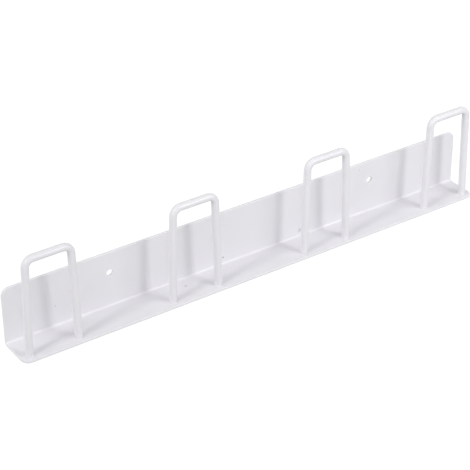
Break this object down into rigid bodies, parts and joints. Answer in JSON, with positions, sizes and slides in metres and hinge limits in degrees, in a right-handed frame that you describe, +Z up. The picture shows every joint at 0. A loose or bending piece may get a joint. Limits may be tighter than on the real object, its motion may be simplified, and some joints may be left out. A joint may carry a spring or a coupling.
{
  "type": "wall mug hook rack",
  "caption": "Wall rack with upright round-wire loops welded along a folded steel bracket, for hanging mugs by their handles; screws through its back plate.",
  "frame": {"origin": "on the wall face, midway between the two screw holes", "axes": "+X along the rack, left to right as seen from the room; +Y into the wall; +Z up"},
  "size_m": [0.38, 0.028, 0.0767],
  "materials": {
    "white_powder_coat": "white powder coat, satin"
  },
  "bodies": {
    "root": {"folded_bracket": "white_powder_coat", "wire_loop_1": "white_powder_coat", "wire_loop_2": "white_powder_coat", "wire_loop_3": "white_powder_coat", "wire_loop_4": "white_powder_coat"}
  },
  "joints": []
}
